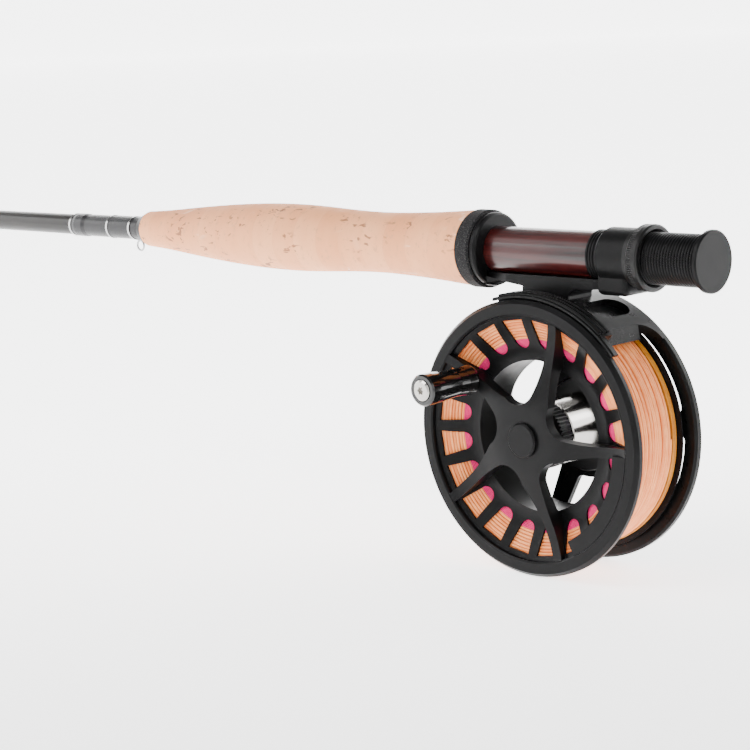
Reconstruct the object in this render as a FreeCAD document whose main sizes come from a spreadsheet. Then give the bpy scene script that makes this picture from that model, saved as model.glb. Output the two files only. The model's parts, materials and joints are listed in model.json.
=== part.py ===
import FreeCAD, Part
import Sketcher
import math
import os
from FreeCAD import Placement, Rotation, Vector

# Fly rod and reel. The frame's origin is the centre of the butt cap's end face.
# +X runs out of the butt cap, so the whole rod lies along -X, the reel hangs
# below it towards -Z, and the reel's axle lies along Y with the handle at -Y.
# Rod stations are distances from the butt end. Reel stations are distances
# along Y, and reel radii are measured from the axle.

DIMENSIONS = {
    # butt cap and threaded barrel
    "cap_radius": 11.5, "cap_face_radius": 11.0, "cap_bevel": 0.4, "cap_flange": 1.6,
    "plug_radius": 7.5, "plug_end": 10.0,
    "barrel_radius": 9.7, "barrel_end": 51.0, "thread_pitch": 1.27, "thread_depth": 0.45,
    "thread_start": 3.0, "thread_turns": 38,
    "arbor_start": 12.0, "seat_bore": 5.2,
    # reel seat
    "insert_radius": 9.0, "insert_end": 104.5,
    "hood_rim_start": 101.4, "hood_rim_radius": 14.4, "hood_rim_edge": 13.4,
    "hood_rim_shoulder": 101.8, "hood_shoulder_radius": 14.1, "hood_rim_bevel_end": 102.6,
    "hood_back_bevel": 103.9, "hood_back_edge": 13.9, "hood_bore": 9.05,
    "ring_radius": 15.3, "ring_edge_radius": 14.7, "ring_bevel_start": 105.2,
    "ring_bevel_end": 110.9, "ring_end": 111.5,
    # sliding hood and nut
    "slide_bore": 9.78, "slide_start": 33.2, "slide_end": 46.2, "slide_radius": 10.85,
    "pocket_wall": 1.5, "pocket_gap": 0.3, "pocket_depth": 9.0,
    "nut_start": 25.6, "nut_end": 32.9, "nut_radius": 12.5, "nut_neck_radius": 11.2,
    "nut_face_radius": 11.9, "nut_bevel_start": 26.2, "nut_flare_start": 29.9,
    "nut_flare_end": 31.2, "nut_recess_radius": 10.8, "nut_recess_end": 26.7,
    # cork grip and winding check
    "cork_end": 312.0, "check_end": 316.5, "check_radius": 8.0, "check_nose_radius": 6.2,
    # blanks: outer radii and the hollow inside
    "butt_start": 12.0, "butt_radius": 5.1, "butt_bore": 4.1,
    "fore_station": 340.0, "fore_radius": 4.92,
    "joint_one": 675.0, "spigot_one_end": 735.0, "socket_one_end": 737.5,
    "spigot_one_root": 4.3, "spigot_one_tip": 4.2, "spigot_one_bore": 3.4,
    "socket_one_mouth": 4.33, "socket_one_floor": 4.226, "collar_one": 5.0,
    "collar_one_end": 745.0, "collar_one_top": 4.72, "bore_one": 3.8,
    "joint_two": 1355.0, "spigot_two_end": 1415.0, "socket_two_end": 1417.5,
    "spigot_two_root": 3.4, "spigot_two_tip": 3.3, "spigot_two_bore": 2.6,
    "socket_two_mouth": 3.43, "socket_two_floor": 3.326, "collar_two": 4.1,
    "collar_two_end": 1425.0, "collar_two_top": 3.82, "bore_two": 2.9,
    "joint_three": 2035.0, "spigot_three_end": 2095.0, "socket_three_end": 2097.5,
    "spigot_three_root": 2.4, "spigot_three_tip": 2.3, "spigot_three_bore": 1.6,
    "socket_three_mouth": 2.43, "socket_three_floor": 2.326, "collar_three": 3.1,
    "collar_three_end": 2105.0, "collar_three_top": 2.8,
    "tip_end": 2738.0, "tip_radius": 0.8,
    # reel: where its axle lies, and its main radii
    "reel_station": 72.9, "reel_drop": 68.9,
    "rim_radius": 53.3, "frame_radius": 53.4, "frame_inner": 49.4, "hoop_radius": 56.0,
    "spool_front": -22.0, "frame_back": 18.3,
    "window_pitch_count": 20, "window_outer": 45.5, "window_inner": 34.1,
    "arm_count": 5, "arm_angle": 143.6, "arbor_bore_radius": 29.4, "arbor_radius": 33.2,
    "backing_radius": 37.6, "line_radius": 46.9, "flange_radius": 48.9,
    "spindle_radius": 4.0, "bearing_bore": 4.05, "bearing_radius": 7.0,
    "hub_radius": 9.6, "sleeve_radius": 12.9, "sleeve_teeth": 48,
    "drum_radius": 12.8, "knob_circle": 34.6,
    # stations of the turned reel parts, measured from a datum 60 mm in front
    "datum_y": -60.0,
    "post_front": 15.4, "post_back": 41.6, "post_radius": 2.5,
    "grip_front": 12.3, "grip_back": 39.1, "grip_bore": 2.56,
    "grip_pocket_radius": 4.35, "grip_seat": 13.3,
    "grip_end_radius": 6.2, "grip_shoulder_radius": 6.05, "grip_upper_radius": 5.7,
    "grip_waist_radius": 5.3, "grip_lower_radius": 5.45, "grip_foot_radius": 5.9,
    "grip_face_radius": 5.6, "grip_lip": 13.0, "grip_neck": 16.5, "grip_shoulder": 19.5,
    "grip_upper": 24.0, "grip_mid": 29.5, "grip_lower": 34.0, "grip_heel": 38.2,
}

doc = FreeCAD.newDocument("fly_rod_and_reel")
sheet = doc.addObject("Spreadsheet::Sheet", "dims")
for row, (alias, value) in enumerate(DIMENSIONS.items(), start=1):
    sheet.set("A%d" % row, alias)
    sheet.set("B%d" % row, str(value))
    sheet.setAlias("B%d" % row, alias)
doc.recompute()

made = []
ROD_PLACE = Placement(Vector(0, 0, 0), Rotation(Vector(0, 0, 1), 180))


def size(alias):
    """Read one driving dimension back from the sheet."""
    return float(sheet.get(alias))


REEL_CENTRE = Vector(-size("reel_station"), 0, -size("reel_drop"))


def keep(thing, label, place=None):
    """Name a finished sub-part, place it, and list it for export."""
    thing.Label = label
    if place is not None:
        thing.Placement = place
    made.append(thing)
    return thing


# ---------------------------------------------------------------- helpers

def origin_plane(body, role):
    for feature in body.Origin.OriginFeatures:
        if feature.Role == role:
            return feature
    raise ValueError(role)


def bound_sketch(body, corners, name):
    """A closed sketch whose corners are pairs of aliases, each bound to the
    sheet. The word axis puts a corner on the line that the shape turns about."""
    sketch = body.newObject("Sketcher::SketchObject", name)
    sketch.AttachmentSupport = [(origin_plane(body, "XY_Plane"), "")]
    sketch.MapMode = "FlatFace"
    places = [Vector(*[0.0 if alias == "axis" else size(alias) for alias in corner])
              for corner in corners]
    count = len(places)
    for index in range(count):
        following = places[(index + 1) % count]
        sketch.addGeometry(Part.LineSegment(places[index], following), False)
    for index in range(count):
        sketch.addConstraint(Sketcher.Constraint("Coincident", index, 2, (index + 1) % count, 1))
    for index, corner in enumerate(corners):
        for kind, alias in zip(("DistanceX", "DistanceY"), corner):
            if alias == "axis":
                line = -2 if kind == "DistanceX" else -1
                sketch.addConstraint(Sketcher.Constraint("PointOnObject", index, 1, line))
                continue
            number = sketch.addConstraint(
                Sketcher.Constraint(kind, -1, 1, index, 1, size(alias)))
            sketch.setExpression("Constraints[%d]" % number, "dims." + alias)
    return sketch


def turned_body(name, corners, axis):
    """A PartDesign body turned about its sketch's own axis."""
    body = doc.addObject("PartDesign::Body", name)
    sketch = bound_sketch(body, corners, name + "_profile")
    turning = body.newObject("PartDesign::Revolution", name + "_turning")
    turning.Profile = sketch
    turning.ReferenceAxis = (sketch, [axis])
    turning.Angle = 360
    return body


def rod_turning(label, corners):
    """Turned about the rod: corners are (distance from butt, radius)."""
    return keep(turned_body(label, corners, "H_Axis"), label, ROD_PLACE)


def reel_shape(label, shape, offset=Vector(0, 0, 0)):
    """A shape made about the axle, put at the reel's place."""
    feature = doc.addObject("Part::Feature", label)
    feature.Shape = shape
    return keep(feature, label, Placement(REEL_CENTRE + offset, Rotation()))


def rod_shape(label, shape):
    """A shape made in the object's own frame."""
    feature = doc.addObject("Part::Feature", label)
    feature.Shape = shape
    return keep(feature, label)


def profile_face(corners):
    """A flat face in XY from straight sides, given as (radius, y)."""
    points = [Vector(radius, along, 0) for radius, along in corners]
    return Part.Face(Part.makePolygon(points + points[:1]))


def lathe(corners):
    """Turn a closed (radius, y) outline right round the axle."""
    return profile_face(corners).revolve(Vector(0, 0, 0), Vector(0, 1, 0), 360)


def sector(corners, start, end):
    """Turn a (radius, y) outline from one angle to another, in degrees up
    from +X towards +Z."""
    face = profile_face(corners)
    face.rotate(Vector(0, 0, 0), Vector(0, 1, 0), -end)
    return face.revolve(Vector(0, 0, 0), Vector(0, 1, 0), end - start)


def round_bar(radius, front, back, at=(0.0, 0.0)):
    """A cylinder along Y from one station to another, at (x, z)."""
    return Part.makeCylinder(radius, back - front, Vector(at[0], front, at[1]), Vector(0, 1, 0))


def polar(radius, angle, along=0.0):
    turn = math.radians(angle)
    return Vector(radius * math.cos(turn), along, radius * math.sin(turn))


def prism(wire, front, back):
    """Extrude a closed wire lying at y = front as far as y = back."""
    return Part.Face(wire).extrude(Vector(0, back - front, 0))


def rounded_path(points, bend):
    """Straight runs joined by tangent arcs of one radius."""
    edges = []
    start = points[0]
    for before, corner, after in zip(points, points[1:], points[2:]):
        inward = (before - corner).normalize()
        outward = (after - corner).normalize()
        half_turn = inward.getAngle(outward) / 2
        reach = bend / math.tan(half_turn)
        first = corner + inward * reach
        last = corner + outward * reach
        middle = (inward + outward).normalize()
        top = corner + middle * (bend / math.sin(half_turn) - bend)
        edges.append(Part.LineSegment(start, first).toShape())
        edges.append(Part.Arc(first, top, last).toShape())
        start = last
    edges.append(Part.LineSegment(start, points[-1]).toShape())
    return Part.Wire(edges)


def wire_form(points, bend, radius):
    """A round wire bent along a path."""
    path = rounded_path(points, bend)
    direction = points[1] - points[0]
    section = Part.Wire(Part.makeCircle(radius, points[0], direction))
    return path.makePipeShell([section], True, True)


# ---------------------------------------------------------------- rod blanks

def blank_radius(station):
    """Outer radius of the assembled rod at a distance from the butt."""
    table = [("butt_start", "butt_radius"), ("fore_station", "fore_radius"),
             ("joint_one", "spigot_one_root"), ("joint_one", "collar_one"),
             ("collar_one_end", "collar_one_top"), ("joint_two", "spigot_two_root"),
             ("joint_two", "collar_two"), ("collar_two_end", "collar_two_top"),
             ("joint_three", "spigot_three_root"), ("joint_three", "collar_three"),
             ("collar_three_end", "collar_three_top"), ("tip_end", "tip_radius")]
    steps = [(size(place), size(radius)) for place, radius in table]
    for (near, near_radius), (far, far_radius) in zip(steps, steps[1:]):
        if near <= station <= far and far > near:
            share = (station - near) / (far - near)
            return near_radius + share * (far_radius - near_radius)
    raise ValueError(station)


rod_turning("butt_blank", [
    ("butt_start", "butt_bore"), ("butt_start", "butt_radius"),
    ("fore_station", "fore_radius"), ("joint_one", "spigot_one_root"),
    ("spigot_one_end", "spigot_one_tip"), ("spigot_one_end", "spigot_one_bore")])
rod_turning("lower_mid_blank", [
    ("joint_one", "socket_one_mouth"), ("joint_one", "collar_one"),
    ("collar_one_end", "collar_one_top"), ("joint_two", "spigot_two_root"),
    ("spigot_two_end", "spigot_two_tip"), ("spigot_two_end", "spigot_two_bore"),
    ("socket_one_end", "bore_one"), ("socket_one_end", "socket_one_floor")])
rod_turning("upper_mid_blank", [
    ("joint_two", "socket_two_mouth"), ("joint_two", "collar_two"),
    ("collar_two_end", "collar_two_top"), ("joint_three", "spigot_three_root"),
    ("spigot_three_end", "spigot_three_tip"), ("spigot_three_end", "spigot_three_bore"),
    ("socket_two_end", "bore_two"), ("socket_two_end", "socket_two_floor")])
rod_turning("tip_blank", [
    ("joint_three", "socket_three_mouth"), ("joint_three", "collar_three"),
    ("collar_three_end", "collar_three_top"), ("tip_end", "tip_radius"),
    ("tip_end", "axis"), ("socket_three_end", "axis"),
    ("socket_three_end", "socket_three_floor")])

# ---------------------------------------------------------------- reel seat

rod_turning("butt_cap", [
    ("axis", "axis"), ("axis", "cap_face_radius"), ("cap_bevel", "cap_radius"),
    ("cap_flange", "cap_radius"), ("cap_flange", "plug_radius"),
    ("plug_end", "plug_radius"), ("plug_end", "axis")])


def threaded_barrel():
    """A tube with a row of vee rings cut round it for the nut's thread."""
    body = turned_body("threaded_barrel", [
        ("cap_flange", "plug_radius"), ("cap_flange", "barrel_radius"),
        ("barrel_end", "barrel_radius"), ("barrel_end", "plug_radius")], "H_Axis")
    doc.recompute()
    whole = body.Shape.Volume
    sketch = body.newObject("Sketcher::SketchObject", "vee_profile")
    sketch.AttachmentSupport = [(origin_plane(body, "XY_Plane"), "")]
    sketch.MapMode = "FlatFace"
    half = 0.4 * size("thread_pitch")
    start, crest = size("thread_start"), size("barrel_radius") + 0.2
    floor = size("barrel_radius") - size("thread_depth")
    corners = [Vector(start - half, crest, 0), Vector(start + half, crest, 0),
               Vector(start, floor, 0)]
    for index in range(3):
        sketch.addGeometry(Part.LineSegment(corners[index], corners[(index + 1) % 3]), False)
    for index in range(3):
        sketch.addConstraint(Sketcher.Constraint("Coincident", index, 2, (index + 1) % 3, 1))
    sketch.addConstraint(Sketcher.Constraint("Horizontal", 0))
    sketch.addConstraint(Sketcher.Constraint("DistanceX", 0, 1, 0, 2, 2 * half))
    sketch.addConstraint(Sketcher.Constraint("DistanceY", -1, 1, 0, 1, crest))
    for kind, alias in (("DistanceX", "thread_start"), ("DistanceY", "barrel_radius")):
        number = sketch.addConstraint(
            Sketcher.Constraint(kind, -1, 1, 2, 1, start if kind == "DistanceX" else floor))
        depth = "" if kind == "DistanceX" else " - dims.thread_depth"
        sketch.setExpression("Constraints[%d]" % number, "dims." + alias + depth)
    groove = body.newObject("PartDesign::Groove", "vee_groove")
    groove.Profile = sketch
    groove.ReferenceAxis = (sketch, ["H_Axis"])
    groove.Angle = 360
    doc.recompute()
    rows = body.newObject("PartDesign::LinearPattern", "vee_row")
    rows.Originals = [groove]
    rows.Direction = (sketch, ["H_Axis"])
    rows.setExpression("Length", "dims.thread_pitch * (dims.thread_turns - 1)")
    rows.setExpression("Occurrences", "dims.thread_turns")
    body.Tip = rows
    doc.recompute()
    if body.Shape.Volume >= whole:
        raise ValueError("the thread cut nothing")
    return keep(body, "threaded_barrel", ROD_PLACE)


threaded_barrel()
rod_turning("seat_arbor", [
    ("arbor_start", "seat_bore"), ("arbor_start", "plug_radius"),
    ("barrel_end", "plug_radius"), ("barrel_end", "seat_bore")])
rod_turning("seat_insert", [
    ("barrel_end", "seat_bore"), ("barrel_end", "insert_radius"),
    ("insert_end", "insert_radius"), ("insert_end", "seat_bore")])
rod_turning("composite_ring", [
    ("insert_end", "seat_bore"), ("insert_end", "ring_edge_radius"),
    ("ring_bevel_start", "ring_radius"), ("ring_bevel_end", "ring_radius"),
    ("ring_end", "ring_edge_radius"), ("ring_end", "seat_bore")])
rod_turning("winding_check", [
    ("cork_end", "seat_bore"), ("cork_end", "check_radius"),
    ("check_end", "check_nose_radius"), ("check_end", "seat_bore")])

# The reel foot is a flat saddle under the seat, with a pedestal that carries
# the frame. Its two ends tuck into the hoods.
FOOT_START, FOOT_END = 38.5, 103.4
FOOT_HALF_WIDTH = 7.0
FOOT_TOP, FOOT_BOTTOM, FOOT_TIP_BOTTOM = -8.2, -12.5, -11.3
PEDESTAL_START, PEDESTAL_END, SADDLE_TOP = 61.5, 84.0, -15.4
FOOT_NOSE_BOTTOM = -10.2
SCREW_STATIONS = (66.5, 79.0)


def foot_shape():
    """Side outline extruded across, hollowed to sit on the round seat."""
    neck = 5.5
    outline = [
        Part.LineSegment(Vector(-FOOT_START, 0, FOOT_TOP), Vector(-FOOT_END, 0, FOOT_TOP)),
        Part.LineSegment(Vector(-FOOT_END, 0, FOOT_TOP), Vector(-FOOT_END, 0, FOOT_NOSE_BOTTOM)),
        Part.LineSegment(Vector(-FOOT_END, 0, FOOT_NOSE_BOTTOM),
                         Vector(-PEDESTAL_END, 0, FOOT_BOTTOM)),
        Part.LineSegment(Vector(-PEDESTAL_END, 0, FOOT_BOTTOM),
                         Vector(-PEDESTAL_END, 0, SADDLE_TOP)),
        Part.LineSegment(Vector(-PEDESTAL_END, 0, SADDLE_TOP),
                         Vector(-PEDESTAL_START, 0, SADDLE_TOP)),
        Part.Arc(Vector(-PEDESTAL_START, 0, SADDLE_TOP),
                 Vector(-PEDESTAL_START + 0.28 * neck, 0, SADDLE_TOP + 2.2),
                 Vector(-PEDESTAL_START + neck, 0, FOOT_BOTTOM)),
        Part.LineSegment(Vector(-PEDESTAL_START + neck, 0, FOOT_BOTTOM),
                         Vector(-FOOT_START, 0, FOOT_TIP_BOTTOM)),
        Part.LineSegment(Vector(-FOOT_START, 0, FOOT_TIP_BOTTOM),
                         Vector(-FOOT_START, 0, FOOT_TOP))]
    wire = Part.Wire([segment.toShape() for segment in outline])
    wire.translate(Vector(0, -FOOT_HALF_WIDTH, 0))
    body = Part.Face(wire).extrude(Vector(0, 2 * FOOT_HALF_WIDTH, 0))
    # plan view: the ends narrow to round tips
    plan = []
    for station, half in ((FOOT_START, 5.0), (FOOT_START + 14, FOOT_HALF_WIDTH + 0.5),
                          (FOOT_END - 14, FOOT_HALF_WIDTH + 0.5), (FOOT_END, 5.0)):
        plan.append(Vector(-station, half, -20))
    plan += [Vector(point.x, -point.y, -20) for point in reversed(plan)]
    body = body.common(Part.Face(Part.makePolygon(plan + plan[:1])).extrude(Vector(0, 0, 14)))
    seat = Part.makeCylinder(size("insert_radius"), 70, Vector(-50.99, 0, 0), Vector(-1, 0, 0))
    barrel = Part.makeCylinder(size("barrel_radius") + 0.05, 40, Vector(-51, 0, 0),
                               Vector(1, 0, 0))
    body = body.cut(seat).cut(barrel)
    for station in SCREW_STATIONS:
        shank = Part.makeCylinder(1.25, 3.5, Vector(-station, 0, SADDLE_TOP), Vector(0, 0, 1))
        body = body.cut(shank)
    return body


rod_shape("reel_foot", foot_shape())


def front_hood():
    """A turned ring with a pocket in its lower side for the foot's front tip."""
    ring = turned_body("hood_ring", [
        ("hood_rim_start", "hood_bore"), ("hood_rim_start", "hood_rim_edge"),
        ("hood_rim_shoulder", "hood_shoulder_radius"),
        ("hood_rim_bevel_end", "hood_rim_radius"), ("hood_back_bevel", "hood_rim_radius"),
        ("insert_end", "hood_back_edge"), ("insert_end", "hood_bore")], "H_Axis")
    ring.Placement = ROD_PLACE
    pocket = doc.addObject("Part::Box", "hood_pocket")
    pocket.setExpression("Length", "dims.insert_end - dims.hood_rim_start - 0.7")
    pocket.Width, pocket.Height = 15.2, 5.4
    pocket.Placement = Placement(Vector(-103.7, -7.6, -13.0), Rotation())
    cut = doc.addObject("Part::Cut", "front_hood")
    cut.Base, cut.Tool = ring, pocket
    return keep(cut, "front_hood")


front_hood()


def slide_hood_shape():
    """A sleeve on the barrel with a deep lip below that covers the foot."""
    start, end = size("slide_start"), size("slide_end")
    radius = size("slide_radius")
    gap, wall = size("pocket_gap"), size("pocket_wall")
    sleeve = Part.makeCylinder(radius, end - start - 0.8, Vector(-start, 0, 0), Vector(-1, 0, 0))
    sleeve = sleeve.fuse(Part.makeCone(radius, radius - 0.6, 0.8, Vector(0.8 - end, 0, 0),
                                       Vector(-1, 0, 0)))
    half = FOOT_HALF_WIDTH + gap + wall - 0.6
    floor = FOOT_TIP_BOTTOM - 0.75 - gap - wall
    lip = Part.makeBox(end - start, 2 * half, -floor - 4.0, Vector(-end, -half, floor))
    round_edges = [edge for edge in lip.Edges
                   if abs(edge.CenterOfMass.z - floor) < 1e-6
                   or (abs(edge.CenterOfMass.x + start) < 1e-6 and edge.CenterOfMass.z < -8)]
    lip = lip.makeFillet(2.2, round_edges)
    solid = sleeve.fuse(lip).removeSplitter()
    solid = solid.cut(Part.makeCylinder(size("slide_bore"), 40, Vector(-20, 0, 0),
                                        Vector(-1, 0, 0)))
    mouth = Part.makeBox(30, 2 * (FOOT_HALF_WIDTH + gap), 14,
                         Vector(-FOOT_START + gap - 30, -FOOT_HALF_WIDTH - gap,
                                floor + wall))
    return solid.cut(mouth)


rod_shape("sliding_hood", slide_hood_shape())


def locking_nut():
    """A flared ring nut, countersunk at its outer end."""
    body = turned_body("nut_turning", [
        ("nut_start", "nut_recess_radius"), ("nut_start", "nut_face_radius"),
        ("nut_bevel_start", "nut_radius"), ("nut_flare_start", "nut_radius"),
        ("nut_flare_end", "nut_neck_radius"), ("nut_end", "nut_neck_radius"),
        ("nut_end", "slide_bore"), ("nut_recess_end", "slide_bore")], "H_Axis")
    return keep(body, "locking_nut", ROD_PLACE)


locking_nut()

# ---------------------------------------------------------------- cork grip

CORK_STATIONS = (111.5, 117.0, 128.0, 143.5, 159.3, 179.6, 201.0, 226.0, 255.0, 281.0, 305.0,
                 310.5, 312.0)
CORK_RADII = (14.9, 14.55, 13.75, 12.9, 12.4, 12.8, 13.9, 14.15, 12.8, 10.6, 8.45, 8.1, 8.0)


def cork_shape():
    """A reverse half-wells grip: one smooth curve turned about the rod."""
    curve = Part.BSplineCurve()
    curve.interpolate([Vector(-station, radius, 0)
                       for station, radius in zip(CORK_STATIONS, CORK_RADII)])
    bore = size("seat_bore")
    near, far = -CORK_STATIONS[0], -CORK_STATIONS[-1]
    edges = [curve.toShape(),
             Part.LineSegment(Vector(far, CORK_RADII[-1], 0), Vector(far, bore, 0)).toShape(),
             Part.LineSegment(Vector(far, bore, 0), Vector(near, bore, 0)).toShape(),
             Part.LineSegment(Vector(near, bore, 0), Vector(near, CORK_RADII[0], 0)).toShape()]
    face = Part.Face(Part.Wire(edges))
    return face.revolve(Vector(0, 0, 0), Vector(1, 0, 0), 360)


rod_shape("cork_grip", cork_shape())

# ---------------------------------------------------------------- wraps and guides

WRAP_THICKNESS = 0.28


def sleeve_on_blank(start, end, thickness=WRAP_THICKNESS):
    """A thin tapered tube on the blank's surface between two stations."""
    near, far = blank_radius(start + 0.01), blank_radius(end - 0.01)
    corners = [Vector(-start, near, 0), Vector(-start, near + thickness, 0),
               Vector(-end, far + thickness, 0), Vector(-end, far, 0)]
    return Part.Face(Part.makePolygon(corners + corners[:1])).revolve(
        Vector(0, 0, 0), Vector(1, 0, 0), 360)


# station and thickness along the wrap over the butt: a label band, then a bulge
BUTT_WRAP = ((316.5, 0.28), (323.9, 0.28), (324.4, 0.4), (338.3, 0.4), (338.8, 0.28),
             (356.5, 0.28), (359.0, 0.58), (364.2, 0.58), (366.2, 0.3), (366.9, 0.3))


def butt_wrap_shape():
    """Thread under varnish, turned about the rod, on the blank's surface."""
    outside = [Vector(-station, blank_radius(station) + thickness, 0)
               for station, thickness in BUTT_WRAP]
    inside = [Vector(-station, blank_radius(station), 0)
              for station in (BUTT_WRAP[-1][0], BUTT_WRAP[0][0])]
    points = outside + inside
    return Part.Face(Part.makePolygon(points + points[:1])).revolve(
        Vector(0, 0, 0), Vector(1, 0, 0), 360)


rod_shape("butt_wrap", butt_wrap_shape())
for number, station in enumerate((322.6, 338.7), start=1):
    ring = sleeve_on_blank(station, station + 1.2, 0.6)
    rod_shape("trim_ring_%d" % number, ring.cut(butt_wrap_shape()))
rod_shape("trim_ring_3", sleeve_on_blank(366.9, 368.1, 0.5))


def hook_keeper_shape():
    """A small wire ring on a short foot below the blank, to park the hook."""
    wire_radius = 0.45
    seat = -(blank_radius(320.0) + WRAP_THICKNESS + wire_radius + 0.02)
    foot = Part.makeBox(5.0, 1.6, 0.7, Vector(-322.4, -0.8, seat - 0.3))
    loop = Part.makeTorus(2.3, wire_radius, Vector(-321.2, 0, seat - 2.4), Vector(0, 1, 0))
    return foot.fuse(loop)


rod_shape("hook_keeper", hook_keeper_shape())

SECTION_GUIDES = {
    "lower_mid": {"joint": "joint_one", "striping": ((890.0, 8.2, 16.0), (1080.0, 6.4, 12.5)),
                  "snakes": ((1250.0, 5.6, 0.62),)},
    "upper_mid": {"joint": "joint_two", "striping": (),
                  "snakes": ((1432.0, 5.2, 0.6), (1600.0, 4.8, 0.58), (1775.0, 4.5, 0.55),
                             (1940.0, 4.3, 0.55))},
    "tip": {"joint": "joint_three", "striping": (),
            "snakes": ((2112.0, 4.0, 0.5), (2235.0, 3.8, 0.48), (2375.0, 3.6, 0.46),
                       (2508.0, 3.5, 0.45), (2632.0, 3.4, 0.45))},
}
SNAKE_FOOT, SNAKE_SPAN = 8.0, 5.5


def snake_shape(station, height, radius):
    """A double-foot wire guide: it leaves the blank, loops across and returns."""
    seat = -(blank_radius(station) + radius + 0.05)
    side = 0.62 * height
    points = [Vector(-station - SNAKE_SPAN - SNAKE_FOOT, 0, seat),
              Vector(-station - SNAKE_SPAN, 0, seat),
              Vector(-station - 0.55 * SNAKE_SPAN, -side, seat - 0.55 * height),
              Vector(-station - 0.22 * SNAKE_SPAN, -0.55 * side, seat - height),
              Vector(-station + 0.22 * SNAKE_SPAN, 0.55 * side, seat - height),
              Vector(-station + 0.55 * SNAKE_SPAN, side, seat - 0.55 * height),
              Vector(-station + SNAKE_SPAN, 0, seat),
              Vector(-station + SNAKE_SPAN + SNAKE_FOOT, 0, seat)]
    return wire_form(points, 0.75, radius)


def stripping_shapes(station, ring_radius, stand_off):
    """A ringed guide: a metal hoop on three legs, and a ceramic liner in it."""
    surface = blank_radius(station)
    centre = Vector(-station, 0, -(surface + stand_off))
    along = Vector(1, 0, 0)
    hoop = Part.makeCylinder(ring_radius, 1.6, centre - along * 0.8, along)
    hoop = hoop.cut(Part.makeCylinder(ring_radius - 1.1, 1.6, centre - along * 0.8, along))
    leg_radius, foot_seat = 0.8, -(surface + 0.85)
    rear = [Vector(-station + 24, 0, foot_seat), Vector(-station + 13, 0, foot_seat),
            Vector(-station, 0, centre.z + ring_radius - 0.3)]
    legs = [wire_form(rear, 3.0, leg_radius)]
    for side in (-1, 1):
        grip = 0.55 * ring_radius * side
        lift = math.sqrt(ring_radius ** 2 - grip ** 2) - 0.3
        front = [Vector(-station - 24, side * 0.9, foot_seat),
                 Vector(-station - 14, side * 0.9, foot_seat),
                 Vector(-station, grip, centre.z + lift)]
        legs.append(wire_form(front, 3.0, leg_radius))
    frame = hoop
    for leg in legs:
        frame = frame.fuse(leg)
    frame = frame.removeSplitter()
    frame = frame.cut(Part.makeCylinder(ring_radius - 1.1, 12, centre - along * 6, along))
    # the feet's undersides follow the blank
    frame = frame.cut(Part.makeCylinder(surface + 0.02, 60, Vector(-station - 30, 0, 0), along))
    liner = Part.makeTorus(ring_radius - 1.75, 0.8, centre, along)
    liner = liner.cut(frame)
    return frame, liner


def bound_feet(station, reach, foot, guide, surface_lift):
    """The two thread bindings over a guide's feet, hollowed for the feet."""
    bindings = []
    for side in (-1, 1):
        near = station + side * reach
        far = station + side * (reach + foot + 1.5)
        start, end = min(near, far), max(near, far)
        tube = sleeve_on_blank(start, end)
        cover = Part.makeCylinder(surface_lift + WRAP_THICKNESS, end - start - 1.0,
                                  Vector(-end + 0.5, 0, -(blank_radius(station) + surface_lift)),
                                  Vector(1, 0, 0))
        cover = cover.cut(Part.makeCylinder(blank_radius(start), end - start + 2,
                                            Vector(-end - 1, 0, 0), Vector(1, 0, 0)))
        bindings.append(tube.fuse(cover).removeSplitter().cut(guide))
    return bindings


for section, fittings in SECTION_GUIDES.items():
    joint = size(fittings["joint"])
    wraps = [sleeve_on_blank(joint + 1.0, joint + 26.0, 0.35)]
    for number, (station, radius, stand_off) in enumerate(fittings["striping"], start=1):
        frame, liner = stripping_shapes(station, radius, stand_off)
        rod_shape("stripping_frame_%d" % number, frame)
        rod_shape("stripping_liner_%d" % number, liner)
        wraps += bound_feet(station, 15.5, 9.0, frame, 0.85)
    for number, (station, height, radius) in enumerate(fittings["snakes"], start=1):
        guide = snake_shape(station, height, radius)
        rod_shape("%s_snake_guide_%d" % (section, number), guide)
        wraps += bound_feet(station, SNAKE_SPAN + 0.6, SNAKE_FOOT - 0.6, guide, radius + 0.05)
    rod_shape(section + "_wraps", Part.makeCompound(wraps))


def tip_top_shape():
    """A tube that caps the tip, with a wire ring hung below its end."""
    end = size("tip_end")
    along = Vector(-1, 0, 0)
    tube = Part.makeCylinder(1.35, 12.0, Vector(-end + 10.0, 0, 0), along)
    bore = Part.makeCone(blank_radius(end - 10.0) + 0.01, size("tip_radius") + 0.01, 10.0,
                         Vector(-end + 10.0, 0, 0), along)
    centre = Vector(-end - 1.6, 0, -3.9)
    ring = Part.makeTorus(3.1, 0.55, centre, along)
    braces = []
    for side in (-1, 1):
        brace = [Vector(-end + 7.5, side * 1.2, -1.0), Vector(-end + 1.5, side * 2.6, -2.6),
                 Vector(-end - 1.6, side * 3.1, -3.9)]
        braces.append(wire_form(brace, 2.0, 0.42))
    shape = tube.fuse([ring] + braces).removeSplitter()
    return shape.cut(bore)


rod_shape("tip_top", tip_top_shape())

# ---------------------------------------------------------------- reel frame

BACK = size("frame_back")
FRAME, INNER, HOOP = size("frame_radius"), size("frame_inner"), size("hoop_radius")


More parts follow.
